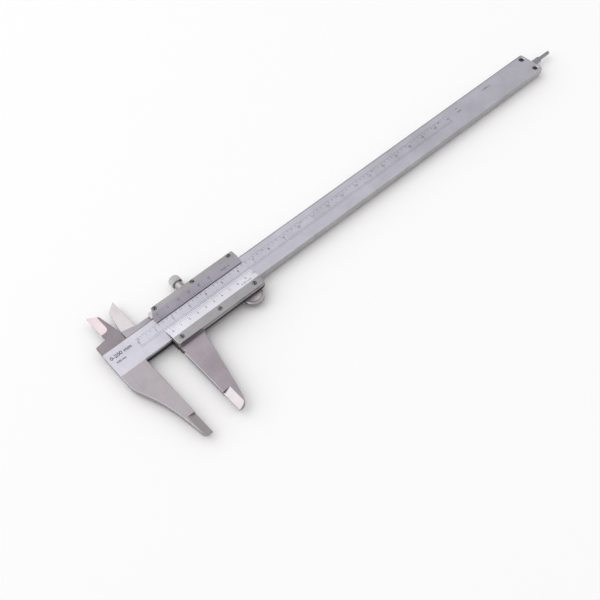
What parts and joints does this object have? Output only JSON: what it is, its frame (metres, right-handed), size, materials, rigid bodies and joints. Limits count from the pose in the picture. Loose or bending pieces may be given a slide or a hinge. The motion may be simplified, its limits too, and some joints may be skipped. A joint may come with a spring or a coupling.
{
  "type": "vernier caliper",
  "caption": "Steel vernier caliper with outside and inside jaws, screwed vernier plates, knurled lock screw, thumb rest and sliding depth rod.",
  "frame": {"origin": "centre of the bottom of the bounding box, with the caliper lying on its back and its jaws 15.3 mm open", "axes": "+X along the beam towards the depth rod, +Y towards the inside jaws, +Z out of the graduated front face"},
  "size_m": [0.3106, 0.0894, 0.0081],
  "materials": {
    "satin_chrome": "satin chrome scale face with engraved graduations, ground grey jaws",
    "ground_steel": "ground stainless steel",
    "dark_chrome": "satin chrome bevel with engraved vernier lines",
    "bright_chrome": "fine satin chrome",
    "screw_steel": "darkened turned steel",
    "spring_steel": "tempered strip steel"
  },
  "bodies": {
    "beam": {"beam": "satin_chrome", "beam_end_plate": "ground_steel", "beam_end_screw_lower": "screw_steel", "beam_end_screw_upper": "screw_steel"},
    "slider": {"slider_body": "ground_steel", "upper_vernier_plate": "dark_chrome", "lower_vernier_plate": "bright_chrome", "upper_plate_screw_1": "screw_steel", "upper_plate_screw_2": "screw_steel", "upper_plate_screw_3": "screw_steel", "lower_plate_screw_1": "screw_steel", "lower_plate_screw_2": "screw_steel", "lower_plate_screw_3": "screw_steel", "gib_set_screw_1": "screw_steel", "gib_set_screw_2": "screw_steel", "depth_rod": "ground_steel", "depth_rod_pin": "screw_steel", "slider_back_cover": "ground_steel", "back_cover_screw_1": "screw_steel", "back_cover_screw_2": "screw_steel"},
    "gib": {"gib_strip": "spring_steel"},
    "lock_screw": {"lock_screw": "bright_chrome"}
  },
  "joints": [
    {"name": "slider_slide", "type": "slide", "parent": "beam", "child": "slider", "axis": [1, 0, 0], "range_m": [-0.01528, 0.1847]},
    {"name": "gib_press", "type": "slide", "parent": "slider", "child": "gib", "axis": [0, -1, 0], "range_m": [0, 0.000125]},
    {"name": "lock_turn", "type": "hinge", "parent": "gib", "child": "lock_screw", "pos_m": [-0.1042, 0.0253, 0.00392], "axis": [0, -1, 0], "range_deg": [0, 90.1]}
  ],
  "couplings": [
    {"joint": "lock_turn", "follows": "gib_press", "rad_per_m": 12566}
  ]
}
